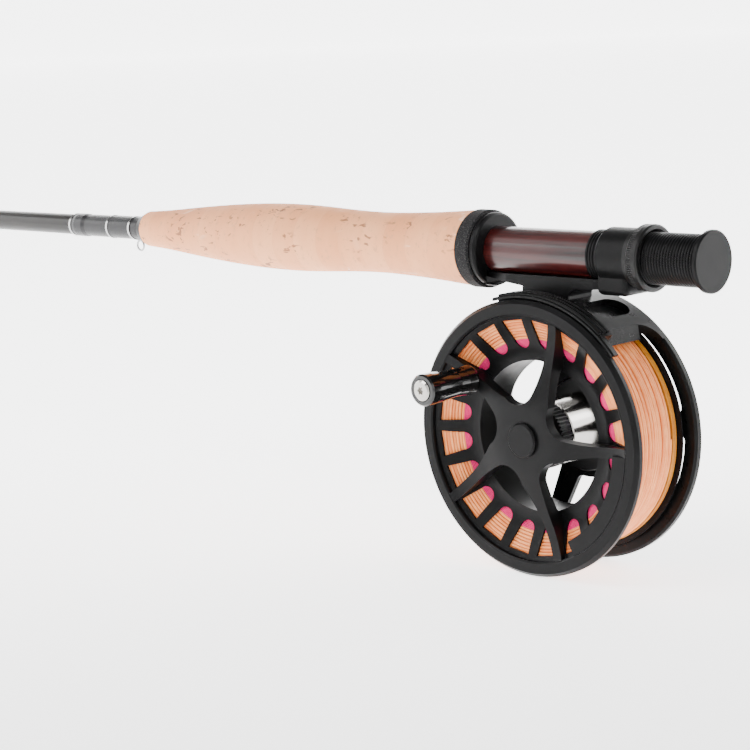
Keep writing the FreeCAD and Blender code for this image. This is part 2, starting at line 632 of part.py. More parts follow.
def frame_shape():
    """One machined piece: back ring and plate, top bridge and front hoop."""
    ring = lathe([(INNER, 14.4), (FRAME - 1.0, 14.4), (FRAME, 15.2), (FRAME, BACK - 0.9),
                  (FRAME - 0.9, BACK), (INNER, BACK)])
    plate = lathe([(0, 15.9), (INNER + 0.5, 15.9), (INNER + 0.5, BACK), (0, BACK)])
    windows = []
    for number in range(6):
        middle = 35.5 + 60 * number
        inner, outer = 21.5, INNER - 2.6
        turn_in = math.degrees(math.asin(4.7 / inner))
        turn_out = math.degrees(math.asin(3.3 / outer))
        edges = [Part.Arc(polar(outer, middle - 30 + turn_out), polar(outer, middle),
                          polar(outer, middle + 30 - turn_out)),
                 Part.LineSegment(polar(outer, middle + 30 - turn_out),
                                  polar(inner, middle + 30 - turn_in)),
                 Part.Arc(polar(inner, middle + 30 - turn_in), polar(inner, middle),
                          polar(inner, middle - 30 + turn_in)),
                 Part.LineSegment(polar(inner, middle - 30 + turn_in),
                                  polar(outer, middle - 30 + turn_out))]
        wire = Part.Wire([edge.toShape() for edge in edges])
        window = Part.Face(wire).extrude(Vector(0, 10, 0))
        corners = [edge for edge in window.Edges
                   if len(edge.Vertexes) == 2
                   and abs(edge.Vertexes[0].Point.y - edge.Vertexes[1].Point.y) > 5]
        window = window.makeFillet(3.0, corners)
        window.translate(Vector(0, 12, 0))
        windows.append(window)
    plate = plate.cut(windows)
    boss = lathe([(0, 13.0), (18.2, 13.0), (19.4, 15.9), (19.4, BACK), (0, BACK)])
    bridge = sector([(INNER, -13.0), (FRAME, -13.0), (FRAME, BACK - 0.9), (FRAME - 0.9, BACK),
                     (INNER, BACK)], 53, 127)
    # the bridge's two ends sweep out into the back ring
    for edge, side in ((53, -1), (127, 1)):
        centre = edge + side * 9.6
        web = sector([(INNER, 5.4), (FRAME, 5.4), (FRAME, 15.4), (INNER, 15.4)],
                     min(edge, centre), max(edge, centre))
        web = web.cut(Part.makeCylinder(8.9, 30, polar(40, centre, 5.4), polar(1, centre)))
        bridge = bridge.fuse(web)
        slope = [polar(INNER + 0.1, edge + side * 5.0, -13.0), polar(FRAME, edge, -13.0),
                 polar(INNER + 0.1, edge, -13.0)]
        bridge = bridge.fuse(prism(Part.makePolygon(slope + slope[:1]), -13.0, 8.0))
    for angle in (66, 114):
        slot = slot_cutter(21.0, 12.0, 3.0)
        slot.rotate(Vector(0, 0, 0), Vector(0, 1, 0), 90 - angle)
        bridge = bridge.cut(slot)
    hoop = sector([(54.0, -20.2), (54.8, -20.2), (55.2, -19.6), (55.2, -13.0), (54.8, -12.4),
                   (INNER, -12.4), (INNER, -16.4), (54.0, -17.0)], 49, 106)
    lip = sector([(54.0, -20.2), (54.8, -20.2), (55.2, -19.6), (55.2, -17.2), (54.8, -16.9),
                  (54.0, -16.9)], 40, 50)
    band = sector([(54.5, -19.6), (55.5, -19.6), (HOOP, -19.1), (HOOP, -18.2), (55.3, -17.9),
                   (55.3, -17.3), (HOOP, -17.0), (HOOP, -15.6), (55.3, -15.3), (55.3, -14.7),
                   (HOOP, -14.4), (HOOP, -13.6), (55.4, -13.0), (54.5, -13.0)], 50.5, 103)
    hoop = hoop.fuse([band, lip])
    saddle = Part.makeBox(PEDESTAL_END - PEDESTAL_START, 14.0, 4.0,
                          Vector(size("reel_station") - PEDESTAL_END, -7.0,
                                 SADDLE_TOP + size("reel_drop") - 4.0))
    shape = ring.fuse([plate, boss, bridge, hoop, saddle]).removeSplitter()
    shape = shape.cut(round_bar(size("spindle_radius"), 0, 40))
    for station in SCREW_STATIONS:
        reach = Vector(size("reel_station") - station, 0, 0)
        shape = shape.cut(Part.makeCylinder(1.25, 12, reach + Vector(0, 0, 44), Vector(0, 0, 1)))
        shape = shape.cut(Part.makeCylinder(2.3, 7, reach + Vector(0, 0, 43.9), Vector(0, 0, 1)))
    return shape


def slot_cutter(length, width, middle):
    """An obround that runs along Y, sunk into the top of the bridge."""
    half, end, low = width / 2, (length - width) / 2, INNER + 1.0
    edges = [Part.LineSegment(Vector(half, middle - end, low), Vector(half, middle + end, low)),
             Part.Arc(Vector(half, middle + end, low), Vector(0, middle + end + half, low),
                      Vector(-half, middle + end, low)),
             Part.LineSegment(Vector(-half, middle + end, low),
                              Vector(-half, middle - end, low)),
             Part.Arc(Vector(-half, middle - end, low), Vector(0, middle - end - half, low),
                      Vector(half, middle - end, low))]
    wire = Part.Wire([edge.toShape() for edge in edges])
    return Part.Face(wire).extrude(Vector(0, 0, 20))


reel_shape("reel_frame", frame_shape())
for number, station in enumerate(SCREW_STATIONS, start=1):
    shank = Part.makeCylinder(1.25, 7.6, Vector(0, 0, 49.0), Vector(0, 0, 1))
    head = Part.makeCylinder(2.2, 1.6, Vector(0, 0, 49.3), Vector(0, 0, 1))
    drive = Part.makeBox(3.4, 0.7, 0.6, Vector(-1.7, -0.35, 48.9))
    reel_shape("foot_screw_%d" % number, head.fuse(shank).removeSplitter().cut(drive),
               Vector(size("reel_station") - station, 0, 0))

# ---------------------------------------------------------------- axle and drag

SPINDLE = size("spindle_radius")
SLEEVE_FRONT, SLEEVE_BACK = -14.2, -8.2
DRUM_FRONT, DRUM_BACK = -7.8, 13.0

reel_shape("spindle", lathe([(0, -19.0), (3.2, -19.0), (SPINDLE, -18.2), (SPINDLE, 20.6),
                             (0, 20.6)]))
reel_shape("drag_housing", lathe([
    (SPINDLE, DRUM_FRONT + 1.4), (SPINDLE, DRUM_FRONT), (size("drum_radius") - 0.4, DRUM_FRONT),
    (size("drum_radius"), DRUM_FRONT + 0.4), (size("drum_radius"), DRUM_BACK),
    (11.5, DRUM_BACK), (11.5, DRUM_FRONT + 1.4)]))
discs = []
for number in range(3):
    front = DRUM_FRONT + 1.4 + number * 2.1
    discs.append(lathe([(SPINDLE + 0.2, front), (11.2, front), (11.2, front + 1.9),
                        (SPINDLE + 0.2, front + 1.9)]))
reel_shape("drag_discs", Part.makeCompound(discs))
reel_shape("drag_spring", lathe([
    (7.0, 9.6), (11.0, 11.0), (11.0, 11.7), (10.7, 11.7), (6.7, 10.3), (6.7, 9.6)]))


def toothed_sleeve():
    """The drive sleeve: a fine-toothed wheel with a six-sided nose."""
    teeth = int(size("sleeve_teeth"))
    outer, root = size("sleeve_radius"), size("sleeve_radius") - 0.9
    points = []
    for number in range(teeth):
        base = 360.0 * number / teeth
        share = 360.0 / teeth
        points += [polar(root, base - 0.38 * share, SLEEVE_FRONT),
                   polar(outer, base - 0.10 * share, SLEEVE_FRONT),
                   polar(outer, base + 0.10 * share, SLEEVE_FRONT),
                   polar(root, base + 0.38 * share, SLEEVE_FRONT)]
    gear = prism(Part.makePolygon(points + points[:1]), SLEEVE_FRONT, SLEEVE_BACK)
    nose = six_sided(6.0, SLEEVE_FRONT - 2.6, SLEEVE_FRONT)
    shape = gear.fuse(nose).removeSplitter()
    return shape.cut(round_bar(size("bearing_bore"), -30, 30))


def six_sided(reach, front, back):
    points = [polar(reach, 60 * number, front) for number in range(6)]
    return prism(Part.makePolygon(points + points[:1]), front, back)


reel_shape("drive_sleeve", toothed_sleeve())

# The click pawl stands behind the hub and drags on the sleeve's teeth.
PAWL_PIN = polar(19.2, 180.0)


def pawl_shape():
    front, back = -12.6, -9.8
    body = round_bar(2.1, front, back, (PAWL_PIN.x, PAWL_PIN.z))
    tip = polar(13.35, 180.0)
    across = Vector(0, 0, 1)
    points = [PAWL_PIN + across * 1.6, tip + across * 0.15, tip - across * 0.15,
              PAWL_PIN - across * 1.6]
    points = [Vector(point.x, front, point.z) for point in points]
    beak = prism(Part.makePolygon(points + points[:1]), front, back)
    return body.fuse(beak).removeSplitter().cut(
        round_bar(1.05, -20, 20, (PAWL_PIN.x, PAWL_PIN.z)))


reel_shape("click_pawl", pawl_shape())


def pawl_post_shape():
    """A pin on an arm that stands off the drum and carries the pawl."""
    pin = round_bar(1.0, -13.2, -5.0, (PAWL_PIN.x, PAWL_PIN.z))
    collar = round_bar(2.1, -9.5, -5.0, (PAWL_PIN.x, PAWL_PIN.z))
    arm = Part.makeBox(8.5, 3.6, 4.2, Vector(-20.5, -7.0, -2.1))
    drum = round_bar(size("drum_radius"), -10, 20)
    return pin.fuse([collar, arm]).removeSplitter().cut(drum)


reel_shape("pawl_post", pawl_post_shape())


def drag_knob_shape():
    """A scalloped knob on the back of the reel that sets the drag."""
    knob = lathe([(0, 18.7), (11.6, 18.7), (13.4, 20.0), (13.4, 25.0), (12.0, 26.6), (0, 26.6)])
    for number in range(12):
        spot = polar(14.7, 30 * number)
        knob = knob.cut(round_bar(2.6, 18, 28, (spot.x, spot.z)))
    knob = knob.cut(round_bar(SPINDLE + 0.06, 10, 21.0))
    return knob.cut(lathe([(0, 25.2), (5.2, 25.2), (5.2, 27), (0, 27)]))


reel_shape("drag_knob", drag_knob_shape())
reel_shape("drag_knob_screw", lathe([(0, 25.2), (4.6, 25.2), (4.6, 26.0), (3.8, 26.5), (0, 26.5)])
           .cut(Part.makeBox(6.4, 0.8, 1.2, Vector(-3.2, 25.9, -0.6))))

# ---------------------------------------------------------------- spool

RIM_FRONT = size("spool_front")
RIM = size("rim_radius")
FLANGE = size("flange_radius")
ARBOR, ARBOR_BORE = size("arbor_radius"), size("arbor_bore_radius")
ARM_ANGLE = size("arm_angle")
WINDOWS = int(size("window_pitch_count"))
ARMS = int(size("arm_count"))
DISH = ((47.4, -19.8), (44.0, -18.4), (39.0, -15.9), (34.5, -13.9), (31.0, -13.6))
FLANGE_THICKNESS = 0.8
# the inner side of the back flange, running down a cone to the arbor
FLANGE_INSIDE = ((FLANGE, 11.4), (38.0, 10.8), (ARBOR, 4.5))


def curve_face(front, straight):
    """A (radius, y) face with one smooth side and the rest straight."""
    curve = Part.BSplineCurve()
    curve.interpolate([Vector(radius, along, 0) for radius, along in front])
    corners = [front[-1]] + list(straight) + [front[0]]
    points = [Vector(radius, along, 0) for radius, along in corners]
    edges = [curve.toShape()]
    edges += [Part.LineSegment(a, b).toShape() for a, b in zip(points, points[1:])]
    return Part.Face(Part.Wire(edges))


def spin(face):
    return face.revolve(Vector(0, 0, 0), Vector(0, 1, 0), 360)


def window_wire(front):
    """One window: a straight outer side, sides that close in, a round end."""
    outer, inner = size("window_outer"), size("window_inner")
    wide, narrow, shoulder = 5.1, 3.5, inner + 3.6
    edges = [Part.LineSegment(Vector(outer, front, -wide), Vector(outer, front, wide)),
             Part.LineSegment(Vector(outer, front, wide), Vector(shoulder, front, narrow)),
             Part.Arc(Vector(shoulder, front, narrow), Vector(inner, front, 0),
                      Vector(shoulder, front, -narrow)),
             Part.LineSegment(Vector(shoulder, front, -narrow), Vector(outer, front, -wide))]
    return Part.Wire([edge.toShape() for edge in edges])


def star_wire(front):
    """Five arms that sweep one way: nearly straight on one side, flaring into
    the hub on the other, and round between them. Points are (along, across)."""
    edges = []
    pitch = 360.0 / ARMS
    straight = ((47.6, 2.0), (36.0, 1.1), (26.0, 0.7), (17.2, 1.7))
    flared = ((47.6, -2.0), (36.0, -3.0), (26.0, -4.5), (16.2, -7.2))

    def on_arm(number, point):
        angle = ARM_ANGLE + pitch * number
        return polar(point[0], angle, front) + polar(point[1], angle + 90)

    for number in range(ARMS):
        here = [on_arm(number, point) for point in straight]
        after = [on_arm(number + 1, point) for point in reversed(flared)]
        middle = polar(13.5, ARM_ANGLE + pitch * number + 27.0, front)
        edges.append(Part.LineSegment(on_arm(number, flared[0]), here[0]))
        edges.append(Part.LineSegment(here[0], here[1]))
        edges.append(Part.Arc(here[1], here[2], here[3]))
        edges.append(Part.Arc(here[3], middle, after[0]))
        edges.append(Part.Arc(after[0], after[1], after[2]))
        edges.append(Part.LineSegment(after[2], after[3]))
    return Part.Wire([edge.toShape() for edge in edges])


def spool_shape():
    back_curve = [(radius + 0.35, along + FLANGE_THICKNESS)
                  for radius, along in reversed(DISH[:-1])]
    flange_front = Part.BSplineCurve()
    flange_front.interpolate([Vector(radius, along, 0) for radius, along in DISH])
    flange_back = Part.BSplineCurve()
    flange_back.interpolate([Vector(radius, along, 0) for radius, along in back_curve])

    def line(start, end):
        return Part.LineSegment(Vector(start[0], start[1], 0), Vector(end[0], end[1], 0)).toShape()

    outer = [back_curve[-1], (51.2, -17.4), (RIM, -18.6), (RIM, -20.4), (51.9, RIM_FRONT),
             (48.0, RIM_FRONT), (47.4, RIM_FRONT + 0.5), DISH[0]]
    inner = [DISH[-1], (ARBOR_BORE, -13.8), (ARBOR_BORE, 3.0), (36.2, 12.8),
             (FLANGE - 1.0, 12.8), (FLANGE, 12.2)] + list(FLANGE_INSIDE)
    inner += [(ARBOR, -12.9), back_curve[0]]
    edges = [flange_front.toShape(), flange_back.toShape()]
    edges += [line(a, b) for a, b in zip(outer, outer[1:])]
    edges += [line(a, b) for a, b in zip(inner, inner[1:])]
    drum = spin(Part.Face(Part.Wire(Part.__sortEdges__(edges))))
    cutters = []
    for number in range(WINDOWS):
        cutter = prism(window_wire(-24), -24, -11)
        cutter.rotate(Vector(0, 0, 0), Vector(0, 1, 0), -(ARM_ANGLE + 360.0 / WINDOWS * (number + 0.5)))
        cutters.append(cutter)
    drum = drum.cut(cutters)
    # a weight that balances the handle: the flange is left thick inside the rim
    weight = sector([(41.7, RIM_FRONT + 0.15), (47.6, RIM_FRONT + 0.15), (47.6, -19.3),
                     (44.0, -17.9), (41.7, -16.8)], -62, -2)
    dish = curve_face([(0, -22.5), (8, -22.5), (14, -22.3), (22, -21.2), (31, -20.2),
                       (39, -20.2), (44.5, -21.0), (47.7, -21.9)],
                      [(47.7, -19.4), (44.0, -17.9), (39.0, -15.4), (34.5, -13.45),
                       (31.0, -13.2), (28.6, -15.0), (16, -18.0), (0, -18.0)])
    star = prism(star_wire(-26), -26, 0).common(spin(dish))
    hub = round_bar(size("hub_radius"), -21.0, -14.6)
    shape = drum.fuse([weight, star, hub]).removeSplitter()
    shape = shape.cut(round_bar(size("bearing_radius"), -19.6, 0))
    post = polar(size("knob_circle"), ARM_ANGLE)
    boss = round_bar(3.4, -20.6, -13.6, (post.x, post.z))
    shape = shape.fuse(boss).removeSplitter()
    return shape.cut(round_bar(size("post_radius"), -40, -18.4, (post.x, post.z)))


reel_shape("spool", spool_shape())
reel_shape("spool_cap", lathe([(0, -22.5), (6.7, -22.5), (6.7, -23.6), (6.1, -24.2), (0, -24.2)]))
reel_shape("hub_bearing", lathe([(size("bearing_bore"), -19.4), (size("bearing_radius"), -19.4),
                                 (size("bearing_radius"), -17.6), (size("bearing_bore"), -17.6)]))


def hub_liner_shape():
    """A liner in the hub's back end, broached to fit the sleeve's nose."""
    ring = lathe([(0, -17.4), (7.0, -17.4), (7.0, -14.6), (0, -14.6)])
    return ring.cut(six_sided(6.12, -18, -14))


reel_shape("hub_liner", hub_liner_shape())

BACKING, LINE = size("backing_radius"), size("line_radius")


def level(corners, radius):
    """The station of a line of (radius, y) corners at one radius."""
    for (far, far_along), (near, near_along) in zip(corners, corners[1:]):
        if near <= radius <= far:
            return near_along + (far_along - near_along) * (radius - near) / (far - near)
    raise ValueError(radius)


def wound_face(inner, outer):
    """What lies between the flanges from one radius to another."""
    def radii(corners):
        return sorted({inner, outer} | {r for r, _ in corners if inner < r < outer})

    front = [(r, level(DISH, r) + FLANGE_THICKNESS + 0.5) for r in radii(DISH)]
    back = [(r, level(FLANGE_INSIDE, r) - 0.06) for r in reversed(radii(FLANGE_INSIDE))]
    return front + back


reel_shape("backing", lathe(wound_face(ARBOR + 0.02, BACKING)))
reel_shape("fly_line", lathe(wound_face(BACKING + 0.02, LINE)))

# ---------------------------------------------------------------- handle

KNOB = polar(size("knob_circle"), ARM_ANGLE)
KNOB_PLACE = Placement(REEL_CENTRE + KNOB + Vector(0, size("datum_y"), 0), Rotation())


def handle_turning(label, corners):
    """Turned about the handle: corners are (radius, distance behind the datum)."""
    return keep(turned_body(label, corners, "V_Axis"), label, KNOB_PLACE)


handle_turning("handle_post", [
    ("axis", "post_front"), ("post_radius", "post_front"), ("post_radius", "post_back"),
    ("axis", "post_back")])
handle_turning("handle_knob", [
    ("grip_bore", "grip_seat"), ("grip_pocket_radius", "grip_seat"),
    ("grip_pocket_radius", "grip_front"), ("grip_face_radius", "grip_front"),
    ("grip_end_radius", "grip_lip"), ("grip_end_radius", "grip_neck"),
    ("grip_shoulder_radius", "grip_shoulder"), ("grip_upper_radius", "grip_upper"),
    ("grip_waist_radius", "grip_mid"), ("grip_lower_radius", "grip_lower"),
    ("grip_foot_radius", "grip_heel"), ("grip_face_radius", "grip_back"),
    ("grip_bore", "grip_back")])


def handle_screw_shape():
    """The bright screw that holds the knob on its post, with a six-lobe socket."""
    front, seat = -48.4, -47.0
    head = lathe([(0, front), (3.3, front), (4.0, front + 0.5), (4.0, seat), (2.4, seat),
                  (2.4, -44.65), (0, -44.65)])
    for number in range(6):
        spot = polar(1.15, 60 * number)
        head = head.cut(round_bar(0.45, front - 1, front + 1.2, (spot.x, spot.z)))
    return head.cut(round_bar(1.2, front - 1, front + 1.2))


reel_shape("handle_screw", handle_screw_shape(), KNOB)

# ---------------------------------------------------------------- check and export

doc.recompute()
for thing in doc.Objects:
    if "Invalid" in thing.State or "Error" in thing.State:
        raise RuntimeError("%s did not build" % thing.Label)
labels = [thing.Label for thing in made]
if len(set(labels)) != len(labels):
    raise RuntimeError("two sub-parts share a name")
os.makedirs("parts", exist_ok=True)
for thing in made:
    shape = thing.Shape
    if shape.isNull() or not shape.isValid() or not shape.Solids:
        raise RuntimeError("%s has no valid solid" % thing.Label)
    shape.exportStep("parts/%s.step" % thing.Label)
    print("%-26s solids %d volume %.1f" % (thing.Label, len(shape.Solids), shape.Volume))
print("sub-parts", len(made))
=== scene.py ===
"""Fly rod and reel: carried-over CAD with procedural materials, and wound line on the spool."""
import json
import math

import bpy
from mathutils import Matrix, Vector


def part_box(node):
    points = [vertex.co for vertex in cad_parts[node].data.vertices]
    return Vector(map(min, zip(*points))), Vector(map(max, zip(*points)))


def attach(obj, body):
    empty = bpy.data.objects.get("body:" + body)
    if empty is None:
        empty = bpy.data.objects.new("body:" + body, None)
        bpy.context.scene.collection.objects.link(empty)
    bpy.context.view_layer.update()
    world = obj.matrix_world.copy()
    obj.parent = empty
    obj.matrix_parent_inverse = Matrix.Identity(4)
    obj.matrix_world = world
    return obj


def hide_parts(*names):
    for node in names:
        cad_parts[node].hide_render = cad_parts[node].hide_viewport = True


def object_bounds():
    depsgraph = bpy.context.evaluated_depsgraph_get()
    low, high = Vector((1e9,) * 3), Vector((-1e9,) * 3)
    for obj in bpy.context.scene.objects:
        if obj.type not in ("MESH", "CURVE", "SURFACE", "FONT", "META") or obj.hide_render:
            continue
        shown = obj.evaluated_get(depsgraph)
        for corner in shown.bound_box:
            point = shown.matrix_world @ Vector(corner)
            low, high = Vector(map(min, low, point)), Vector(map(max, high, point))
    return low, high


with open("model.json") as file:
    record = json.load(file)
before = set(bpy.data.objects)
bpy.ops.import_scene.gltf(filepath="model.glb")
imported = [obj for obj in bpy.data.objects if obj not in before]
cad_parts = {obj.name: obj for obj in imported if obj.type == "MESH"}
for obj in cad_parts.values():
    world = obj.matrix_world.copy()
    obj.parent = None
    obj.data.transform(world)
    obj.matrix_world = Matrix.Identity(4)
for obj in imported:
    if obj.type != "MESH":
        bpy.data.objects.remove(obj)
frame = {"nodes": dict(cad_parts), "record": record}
LOW_CAD, HIGH_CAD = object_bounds()
MM = 0.001
BOXES = {node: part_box(node) for node in frame["nodes"]}

# The reel's axle lies along Y through the spindle's middle.
SPINDLE_LOW, SPINDLE_HIGH = BOXES["spindle"]
AXLE = Vector(((SPINDLE_LOW.x + SPINDLE_HIGH.x) / 2, 0.0, (SPINDLE_LOW.z + SPINDLE_HIGH.z) / 2))


# ---------------------------------------------------------------- material kit

class Recipe:
    """A node material with one principled shader, in the object's own frame."""

    def __init__(self, name, color, roughness, metallic=0.0, **sockets):
        self.material = bpy.data.materials.new(name)
        self.material.use_nodes = True
        self.tree = self.material.node_tree
        self.tree.nodes.clear()
        self.output = self.add("ShaderNodeOutputMaterial")
        self.shader = self.add("ShaderNodeBsdfPrincipled")
        self.link(self.shader.outputs["BSDF"], self.output.inputs["Surface"])
        self.shader.inputs["Base Color"].default_value = (*color, 1.0)
        self.shader.inputs["Roughness"].default_value = roughness
        self.shader.inputs["Metallic"].default_value = metallic
        for socket, value in sockets.items():
            self.shader.inputs[socket.replace("_", " ")].default_value = value
        self.place = self.add("ShaderNodeTexCoord").outputs["Object"]
        self.height = None

    def add(self, kind, **settings):
        node = self.tree.nodes.new(kind)
        for key, value in settings.items():
            setattr(node, key, value)
        return node

    def link(self, source, target):
        self.tree.links.new(source, target)

    def mapped(self, scale):
        """Object coordinates stretched by scale, so that grain can run one way."""
        mapping = self.add("ShaderNodeMapping")
        mapping.inputs["Scale"].default_value = scale
        self.link(self.place, mapping.inputs["Vector"])
        return mapping.outputs["Vector"]

    def noise(self, scale, detail=3.0, roughness=0.5, stretch=(1, 1, 1), distortion=0.0):
        node = self.add("ShaderNodeTexNoise")
        node.inputs["Scale"].default_value = scale
        node.inputs["Detail"].default_value = detail
        node.inputs["Roughness"].default_value = roughness
        node.inputs["Distortion"].default_value = distortion
        self.link(self.mapped(stretch), node.inputs["Vector"])
        return node.outputs["Fac"]

    def ramp(self, factor, stops, constant=False):
        node = self.add("ShaderNodeValToRGB")
        if constant:
            node.color_ramp.interpolation = "CONSTANT"
        elements = node.color_ramp.elements
        while len(elements) < len(stops):
            elements.new(0.5)
        for element, (position, color) in zip(elements, stops):
            element.position = position
            value = color if isinstance(color, tuple) else (color,) * 3
            element.color = (*value, 1.0)
        self.link(factor, node.inputs["Fac"])
        return node.outputs["Color"]

    def mix(self, factor, first, second, blend="MIX"):
        node = self.add("ShaderNodeMix", data_type="RGBA", blend_type=blend)
        for socket, value in ((node.inputs[0], factor), (node.inputs[6], first),
                              (node.inputs[7], second)):
            if isinstance(value, (int, float)):
                socket.default_value = value
            elif isinstance(value, tuple):
                socket.default_value = (*value, 1.0)
            else:
                self.link(value, socket)
        return node.outputs[2]

    def math(self, operation, first, second=0.0):
        node = self.add("ShaderNodeMath", operation=operation)
        for socket, value in zip(node.inputs, (first, second)):
            if isinstance(value, (int, float)):
                socket.default_value = value
            else:
                self.link(value, socket)
        return node.outputs[0]

    def axis(self, letter):
        node = self.add("ShaderNodeSeparateXYZ")
        self.link(self.place, node.inputs[0])
        return node.outputs[letter]

    def set(self, socket, value):
        self.link(value, self.shader.inputs[socket])
        return self

    def bump(self, height, strength, distance):
        """Adds a bump; several are chained."""
        node = self.add("ShaderNodeBump")
        node.inputs["Strength"].default_value = strength
        node.inputs["Distance"].default_value = distance
        self.link(height, node.inputs["Height"])
        if self.height is not None:
            self.link(self.height, node.inputs["Normal"])
        self.height = node.outputs["Normal"]
        self.link(self.height, self.shader.inputs["Normal"])
        return self


def anodised(name, shade, roughness, tone=0.0):
    """Bead-blasted, black anodised aluminium: fine grain and a soft sheen."""
    low, high = shade * 0.8, shade * 1.25
    m = Recipe(name, (shade,) * 3, roughness, Specular_IOR_Level=0.1)
    wide = m.noise(35.0, 3.0)
    m.set("Base Color", m.ramp(wide, [(0.3, (low, low, low * (1 + tone))),
                                      (0.7, (high, high, high * (1 + tone)))]))
    fine = m.noise(5200.0, 2.0)
    m.set("Roughness", m.ramp(m.noise(140.0, 4.0), [(0.3, roughness - 0.05),
                                                    (0.75, roughness + 0.07)]))
    return m.bump(fine, 0.12, 0.00004).material


def metal(name, color, roughness, stretch, scale=900.0):
    """Bright metal with fine lines along or round the piece."""
    m = Recipe(name, color, roughness, 1.0)
    lines = m.noise(scale, 2.0, stretch=stretch)
    dark = tuple(c * 0.82 for c in color)
    m.set("Base Color", m.mix(lines, dark, color))
    m.set("Roughness", m.ramp(lines, [(0.3, max(roughness - 0.06, 0.03)), (0.7, roughness + 0.08)]))
    return m.bump(lines, 0.08, 0.00003).material


def knurled():
    """Anodised black, with fine straight knurling round the nut where it begins to narrow."""
    ridges, near_mm, far_mm = 96.0, 28.0, 31.0  # the band's ends are mm from the butt
    m = Recipe("knurled_black", (0.007,) * 3, 0.34, Specular_IOR_Level=0.2)
    m.set("Base Color", m.ramp(m.noise(35.0, 3.0), [(0.3, 0.005), (0.7, 0.009)]))
    angle = m.math("ARCTAN2", m.axis("Z"), m.axis("Y"))
    ridge = m.math("SINE", m.math("MULTIPLY", angle, ridges))
    from_butt = m.math("MULTIPLY", m.axis("X"), -1000.0)
    band = m.math("MULTIPLY", m.math("GREATER_THAN", from_butt, near_mm),
                  m.math("LESS_THAN", from_butt, far_mm))
    return m.bump(m.math("MULTIPLY", ridge, band), 0.7, 0.0002).material


def plastic(name, color, roughness, coat=0.0):
    """Moulded plastic, foam or fibre, a little uneven in tone and gloss."""
    m = Recipe(name, color, roughness, Coat_Weight=coat, Coat_Roughness=0.06,
               Specular_IOR_Level=0.3)
    wide = m.noise(60.0, 3.0)
    darker = tuple(c * 0.8 for c in color)
    lighter = tuple(min(c * 1.2, 1.0) for c in color)
    m.set("Base Color", m.ramp(wide, [(0.3, darker), (0.7, lighter)]))
    m.set("Roughness", m.ramp(m.noise(220.0, 3.0), [(0.3, roughness * 0.85),
                                                    (0.75, roughness * 1.25)]))
    return m.bump(m.noise(700.0, 2.0), 0.05, 0.00003).material


def cork():
    """Ground cork discs glued end to end, with short dark pits and pale fill."""
    m = Recipe("cork", (0.74, 0.48, 0.34), 0.62, Specular_IOR_Level=0.32)
    base = m.ramp(m.noise(55.0, 5.0, 0.6, (1.0, 0.6, 0.6)),
                  [(0.28, (0.74, 0.27, 0.105)), (0.5, (0.83, 0.34, 0.145)),
                   (0.75, (0.92, 0.43, 0.21))])
    disc_length = 0.0127
    disc = m.math("FLOOR", m.math("DIVIDE", m.axis("X"), disc_length))
    tint = m.add("ShaderNodeTexWhiteNoise", noise_dimensions="1D")
    m.link(disc, tint.inputs["W"])
    color = m.mix(0.5, base, m.ramp(tint.outputs["Value"], [(0.0, (0.78, 0.30, 0.12)),
                                                             (1.0, (0.88, 0.39, 0.18))]))
    within = m.math("FRACT", m.math("DIVIDE", m.axis("X"), disc_length))
    seam = m.ramp(m.math("ABSOLUTE", m.math("SUBTRACT", within, 0.5)), [(0.484, 0.0), (0.5, 1.0)])
    color = m.mix(m.math("MULTIPLY", seam, 0.22), color, (0.52, 0.23, 0.11))
    specks = m.noise(430.0, 3.0, 0.65, (1.0, 0.7, 0.7))
    color = m.mix(m.ramp(specks, [(0.57, 0.0), (0.68, 0.6)]), color, (0.60, 0.27, 0.13))
    where = m.ramp(m.noise(42.0, 2.0), [(0.46, 0.0), (0.56, 1.0)])
    pits = m.ramp(m.noise(330.0, 2.0, 0.6, (0.55, 1.0, 1.0), 0.6), [(0.605, 0.0), (0.65, 1.0)])
    pit = m.math("MULTIPLY", where, pits)
    color = m.mix(m.math("MULTIPLY", pit, 0.85), color, (0.22, 0.085, 0.035))
    streak_where = m.ramp(m.noise(26.0, 2.0), [(0.52, 0.0), (0.62, 1.0)])
    streaks = m.ramp(m.noise(190.0, 2.0, 0.5, (0.35, 1.0, 1.0), 1.2), [(0.60, 0.0), (0.66, 1.0)])
    fill = m.math("MULTIPLY", streak_where, streaks)
    color = m.mix(m.math("MULTIPLY", fill, 0.7), color, (0.95, 0.64, 0.45))
    m.set("Base Color", color)
    m.set("Roughness", m.ramp(specks, [(0.3, 0.55), (0.8, 0.74)]))
    m.bump(specks, 0.10, 0.0002)
    return m.bump(m.math("MULTIPLY", pit, -1.0), 0.5, 0.0003).material


def composite_cork():
    """Charcoal rubberised cork: tiny pale and black flecks."""
    m = Recipe("composite_cork", (0.012, 0.012, 0.013), 0.8, Specular_IOR_Level=0.15)
    cells = m.add("ShaderNodeTexVoronoi")
    cells.inputs["Scale"].default_value = 1500.0
    m.link(m.place, cells.inputs["Vector"])
    flecks = m.noise(2300.0, 2.0)
    color = m.mix(m.ramp(flecks, [(0.52, 0.0), (0.72, 1.0)]), (0.007, 0.007, 0.008),
                  (0.055, 0.053, 0.05))
    m.set("Base Color", color)
    m.set("Roughness", m.ramp(flecks, [(0.3, 0.66), (0.7, 0.85)]))
    return m.bump(cells.outputs["Distance"], 0.45, 0.00025).material


